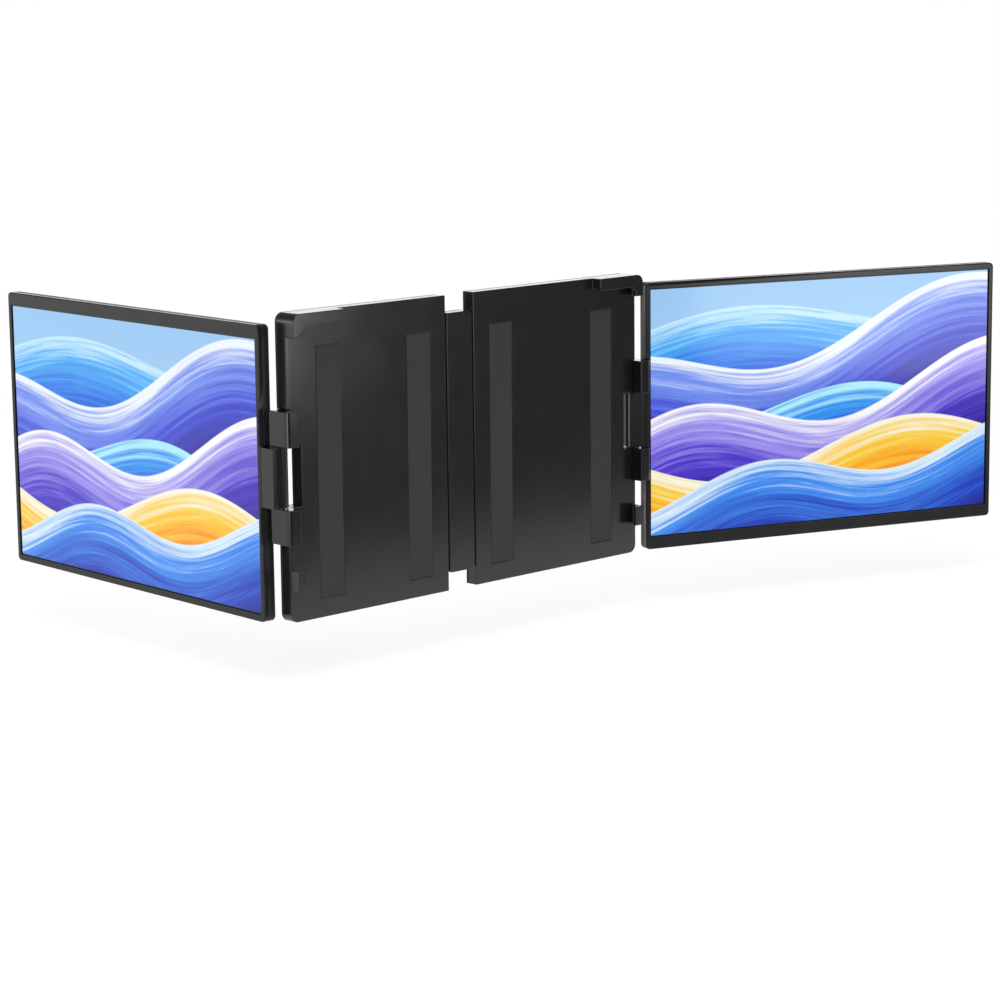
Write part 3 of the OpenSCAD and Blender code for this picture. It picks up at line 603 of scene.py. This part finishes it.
def bezel_radius(side, usual):
    """Wider round the face, away from the cuts at the lugs; sharp where a cut runs out."""
    inverse = screen_place(side).inverted()

    def radius_of(edge):
        ends = [inverse @ v.co for v in edge.verts]
        x, y, z = np.array([end[:] for end in ends]).T
        if max(x) < CLOSE and min(y) > BEZEL_T - CLOSE:
            return 0.0
        beyond = np.maximum(abs(x - SCREEN_W / 2) - SCREEN_W / 2, abs(z) - SCREEN_H / 2)
        round_face = max(abs(y)) < CLOSE and min(beyond) > -CORNER_R and max(x) > FAR_FROM_LUGS
        return BEZEL_RIM if round_face else usual

    return radius_of


print("bezel rim:", round(BEZEL_RIM / MM, 2), "mm")

# %% Rounded pieces
ROUNDED = {
    "front_shell": (0.5 * MM, satin_abs), "back_shell": (0.4 * MM, cover_abs),
    "hinge_bracket": (0.5 * MM, coated_zinc), "bezel": (0.35 * MM, bezel_abs),
    "rear_cover": (0.4 * MM, cover_abs), "knuckle": (0.5 * MM, coated_zinc)}


def same(radius):
    """One radius for every edge."""
    return lambda edge: radius


for side in ("left", "right"):
    for part, (radius, material) in ROUNDED.items():
        chosen = bezel_radius(side, radius) if part == "bezel" else same(radius)
        round_off(f"{side}_{part}", chosen, material)
for node, radius, material in (
        ("spine_front", 0.5 * MM, satin_abs), ("spine_back", 0.4 * MM, cover_abs),
        ("folding_leg", 0.6 * MM, coated_zinc), ("leg_foot", 0.5 * MM, foot_rubber)):
    round_off(node, same(radius), material)

# %% [markdown]
# The other nodes keep their solids, which are right as they are, and get the
# finish of their real material.

# %% Finishes of the solids that stay
FINISH = {
    "steel": turned_steel, "rail_metal": anodised, "black_resin": black_acetal,
    "white_resin": acetal, "dark_steel": blackened, "soft_pad": foam_pad,
    "tray_metal": pressed_tray, "circuit_board": mask_green, "port_metal": nickel,
    "speaker_plastic": cover_abs, "button_plastic": button_abs, "rubber": foot_rubber,
    "satin_black": satin_abs, "black_metal": coated_zinc, "display_glass": bezel_abs}
for node, thing in frame["nodes"].items():
    thing.data.materials.clear()
    thing.data.materials.append(FINISH[SLOT_OF[node]])
print("finishes:", len(FINISH))

# %% [markdown]
# The lit panel is a slab of glass behind the bezel.  Its front carries the
# picture, so it gets a UV map that runs from the user's lower left; on the
# screen that is turned over, the map is turned over too.

# %% Lit panels
PANEL_EDGE, PANEL_CORNER = 1.6 * MM, 1.5 * MM     # in from the rim, and corner radius
PANEL_IN = np.array([1.5, 1.35, 0.15, 0.0, 0.0, 0.15, 1.35, 1.5]) * MM
PANEL_BACK = np.array([1.0, 1.0, 1.0, 1.15, 2.85, 3.0, 3.0, 3.0]) * MM


def lit_panel(side):
    """A slab with a slightly rounded rim: rings at PANEL_IN and PANEL_BACK.

    A ring lies at centre + outward * (corner radius - how far in it is).
    """
    width, height = SCREEN_W - 2 * PANEL_EDGE, SCREEN_H - 2 * PANEL_EDGE
    centres, outward = round_rectangle(width, height, PANEL_CORNER)
    ring = centres[None] + outward[None] * (PANEL_CORNER - PANEL_IN)[:, None, None]
    rings = np.dstack([ring[..., 0] + SCREEN_W / 2,
                       np.broadcast_to(PANEL_BACK[:, None], ring.shape[:2]), ring[..., 1]])
    mesh = grid_mesh(side + "_lit_panel", rings[:, ::-1])
    work = bmesh.new()
    work.from_mesh(mesh)
    bmesh.ops.holes_fill(work, edges=[e for e in work.edges if e.is_boundary])
    bmesh.ops.remove_doubles(work, verts=work.verts, dist=WELD)
    bmesh.ops.recalc_face_normals(work, faces=work.faces)
    sheet = work.loops.layers.uv.new("picture")
    for face in work.faces:
        for loop in face.loops:
            x, _, z = loop.vert.co
            u, v = (x - LIT_SIDE) / LIT_TALL, (z + SCREEN_H / 2 - LIT_WIDE) / LIT_TALL
            loop[sheet].uv = (LIT_RATIO - u, 1 - v) if side == "left" else (u, v)
    work.to_mesh(mesh)
    work.free()
    mesh.transform(screen_place(side))
    return mesh


for side in ("left", "right"):
    panel = new_piece(side + "_display", lit_panel(side), picture, side + "-lit-panel")
    print(panel.name, len(panel.data.polygons), "faces")

# %% [markdown]
# The studio.  A white paper floor lies under the object, and the camera
# sees nothing but white round it.  What mirrors the room sees the same white
# low down and behind, and a darker room overhead and in front, as in a real
# studio: a black part hardly has a colour of its own, so its shape is told by
# that contrast.  What falls on the object is softer, so that a colour renders
# about as it is written.  The floor lies where the folded-out leg would stand;
# part of its look is lit, which keeps the object's soft shadow.

# %% White floor
FLOOR_Z = -0.134
FLOOR_REACH = 6.0
PAPER_SHARE = 0.3         # share of the floor's look that is lit
PAPER_GLOW = 1.1          # brings paper in full light to white
DARK_ROOM = 0.16          # what a mirror sees overhead and in front
FADE = (0.5, 1.3)         # how far out the lit paper turns to plain white
FRONT = (0.14, 0.42)      # how far in front a mirror finds the room dark


def seen(tree):
    """1 where a ray comes from the camera or through a clear part."""
    path = add(tree, "LightPath").outputs
    either = {0: path["Is Camera Ray"], 1: path["Is Transmission Ray"]}
    return add(tree, "Math", either, operation="MAXIMUM")


corners = [(-1, -1), (1, -1), (1, 1), (-1, 1)]
paper_sheet = [(x * FLOOR_REACH, y * FLOOR_REACH, FLOOR_Z) for x, y in corners]
floor_mesh = bpy.data.meshes.new("floor")
floor_mesh.from_pydata(paper_sheet, [], [(0, 1, 2, 3)])
floor = bpy.data.objects.new("floor", floor_mesh)
bpy.context.collection.objects.link(floor)
print("floor at", FLOOR_Z)

# %% Its paint: one look for the camera, one for mirrors, one for soft light
floor_paint, tree = new_material("white paper")
place = add(tree, "TexCoord").outputs["Object"]
away = add(tree, "VectorMath", {0: place}, operation="LENGTH").outputs["Value"]
ahead = add(tree, "SeparateXYZ", {0: place}).outputs[1]
paper = add(tree, "BsdfDiffuse", {"Color": hex_colour("#f4f4f4")})
glow, white, dark = [add(tree, "Emission", {"Strength": level})
                     for level in (PAPER_GLOW, 1.0, DARK_ROOM)]
near = add(tree, "MixShader", {0: PAPER_SHARE, 1: glow, 2: paper})
far = add(tree, "MapRange", {"Value": away, "From Min": FADE[0], "From Max": FADE[1]},
          interpolation_type="SMOOTHSTEP")
look = add(tree, "MixShader", {0: far, 1: near, 2: white})
reach = add(tree, "MapRange", {"Value": ahead, "From Min": -FRONT[0], "From Max": -FRONT[1]},
            interpolation_type="SMOOTHSTEP")
mirrored = add(tree, "MixShader", {0: reach, 1: white, 2: dark})
glossy = add(tree, "LightPath").outputs["Is Glossy Ray"]
lit = add(tree, "MixShader", {0: glossy, 1: paper, 2: mirrored})
shown = add(tree, "MixShader", {0: seen(tree), 1: lit, 2: look})
add(tree, "OutputMaterial", {"Surface": shown})
floor_mesh.materials.append(floor_paint)
print("paint:", floor_paint.name)

# %% [markdown]
# The room is one colour to the camera, an even softer light to what it falls on,
# and to a mirror it is white behind the object and dark overhead and in front.

# %% The room
ROOM_LIGHT = 0.5          # what falls on the object from all round
BEHIND = (-0.2, 0.35)     # Y of a direction in which the room turns from dark to white
OVERHEAD = (0.45, 0.22)   # Z of a direction above which it is dark again

world = bpy.data.worlds.new("room")
bpy.context.scene.world = world
world.use_nodes = True
room = world.node_tree
room.nodes.clear()
way = add(room, "SeparateXYZ", {0: add(room, "TexCoord").outputs["Generated"]}).outputs
behind = add(room, "MapRange", {"Value": way[1], "From Min": BEHIND[0], "From Max": BEHIND[1]},
             interpolation_type="SMOOTHSTEP")
low = add(room, "MapRange", {"Value": way[2], "From Min": OVERHEAD[0], "From Max": OVERHEAD[1]},
          interpolation_type="SMOOTHSTEP")
bright = add(room, "Math", {0: behind, 1: low}, operation="MULTIPLY")
mirror = add(room, "MapRange", {"Value": bright, "To Min": DARK_ROOM, "To Max": 1.0})
glossy = add(room, "LightPath").outputs["Is Glossy Ray"]
other = add(room, "Mix", {0: glossy, 2: ROOM_LIGHT, 3: mirror})
strength = add(room, "Mix", {0: seen(room), 2: other, 3: 1.0})
sky = add(room, "Background", {"Color": (1, 1, 1, 1), "Strength": strength})
add(room, "OutputWorld", {"Surface": sky})
print("room light:", ROOM_LIGHT)

# %% [markdown]
# Five soft boxes.  Two large ones behind fill the faces that look left and the
# narrow tops, a slim one in front brightens the right screen's rim, one beside
# the camera draws a bright line down every round edge, and one above gives the
# soft shadow.

# %% Soft boxes
def soft_box(name, place, width, height, radiance):
    """A lamp that faces the object; its power is pi * area * radiance."""
    data = bpy.data.lights.new(name, "AREA")
    data.shape, data.size, data.size_y = "RECTANGLE", width, height
    data.energy = float(np.pi * width * height * radiance)
    lamp = bpy.data.objects.new(name, data)
    bpy.context.collection.objects.link(lamp)
    lamp.location = place
    lamp.rotation_euler = (-Vector(place)).to_track_quat("-Z", "Y").to_euler()
    lamp.visible_camera = False
    print(name, round(data.energy, 1), "W")


# place, width, height and radiance of each
BOXES = {
    "box above": ((-0.3, -0.3, 1.7), 1.5, 1.5, 3.0),
    "box behind left": ((-1.4, 1.55, 0.16), 1.4, 0.5, 1.4),
    "box behind right": ((1.7, 1.75, 0.45), 1.6, 1.2, 0.7),
    "box in front": ((0.52, -1.05, 0.15), 0.36, 0.56, 4.4),
    "box at the left": ((-0.61, -0.31, 0.12), 0.3, 0.5, 3.6)}
for name, box in BOXES.items():
    soft_box(name, *box)
bpy.context.scene.view_settings.view_transform = "Standard"
